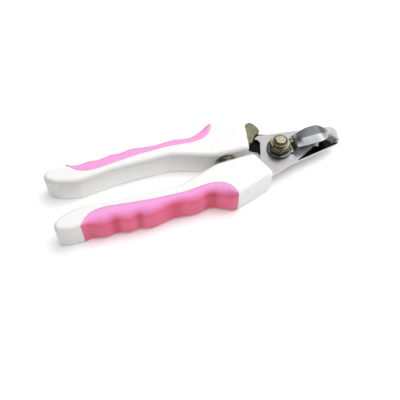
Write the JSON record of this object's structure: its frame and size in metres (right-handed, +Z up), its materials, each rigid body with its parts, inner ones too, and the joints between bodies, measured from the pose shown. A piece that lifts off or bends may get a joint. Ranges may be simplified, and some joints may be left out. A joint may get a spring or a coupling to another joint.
{
  "type": "scissor nail clipper",
  "caption": "Plier-style pet nail clipper: two handled blades cross at a pivot bolt, with soft finger grips, a return spring, a swing lock and a turning nail guard.",
  "frame": {"origin": "middle of the footprint, on the surface that the handles lie on", "axes": "+X along the length towards the jaws, +Y towards the far handle, +Z up through the thickness"},
  "size_m": [0.1542, 0.0476, 0.0183],
  "materials": {
    "handle_plastic": "white moulded plastic, satin gloss",
    "grip_rubber": "pink soft moulded rubber, satin",
    "blade_steel": "satin stainless steel, polished cutting side",
    "guard_steel": "polished pressed sheet steel",
    "lever_steel": "dull grey-olive pressed steel",
    "zinc_steel": "zinc-plated steel with a yellow tint",
    "pin_steel": "plain steel",
    "spring_steel": "drawn spring wire",
    "nylon": "black nylon ring"
  },
  "bodies": {
    "near_side": {"near_handle": "handle_plastic", "near_grip": "grip_rubber", "upper_blade": "blade_steel", "near_tang_pins": "pin_steel", "pivot_bolt": "zinc_steel", "head_washer": "zinc_steel", "lock_nut": "zinc_steel", "nut_insert": "nylon", "return_spring": "spring_steel"},
    "far_side": {"far_handle": "handle_plastic", "far_grip": "grip_rubber", "lower_blade": "blade_steel", "far_tang_pins": "pin_steel", "lock_rivet": "pin_steel", "lock_washer": "pin_steel"},
    "lock": {"lock_lever": "lever_steel"},
    "guard": {"nail_guard": "guard_steel"}
  },
  "joints": [
    {"name": "handles_open", "type": "hinge", "parent": "near_side", "child": "far_side", "pos_m": [0.04339, 0, 0.008], "axis": [0, 0, -1], "range_deg": [0, 28], "deforming": ["return_spring"]},
    {"name": "lock_swing", "type": "hinge", "parent": "far_side", "child": "lock", "pos_m": [0.02459, 0.0116, 0.009], "axis": [0, 0, 1], "range_deg": [0, 42]},
    {"name": "guard_turn", "type": "hinge", "parent": "near_side", "child": "guard", "pos_m": [0.04339, 0, 0.011], "axis": [0, 0, 1], "range_deg": [-80, 80]}
  ],
  "couplings": [
    {"joint": "lock_swing", "follows": "handles_open", "ratio": 1.5}
  ]
}
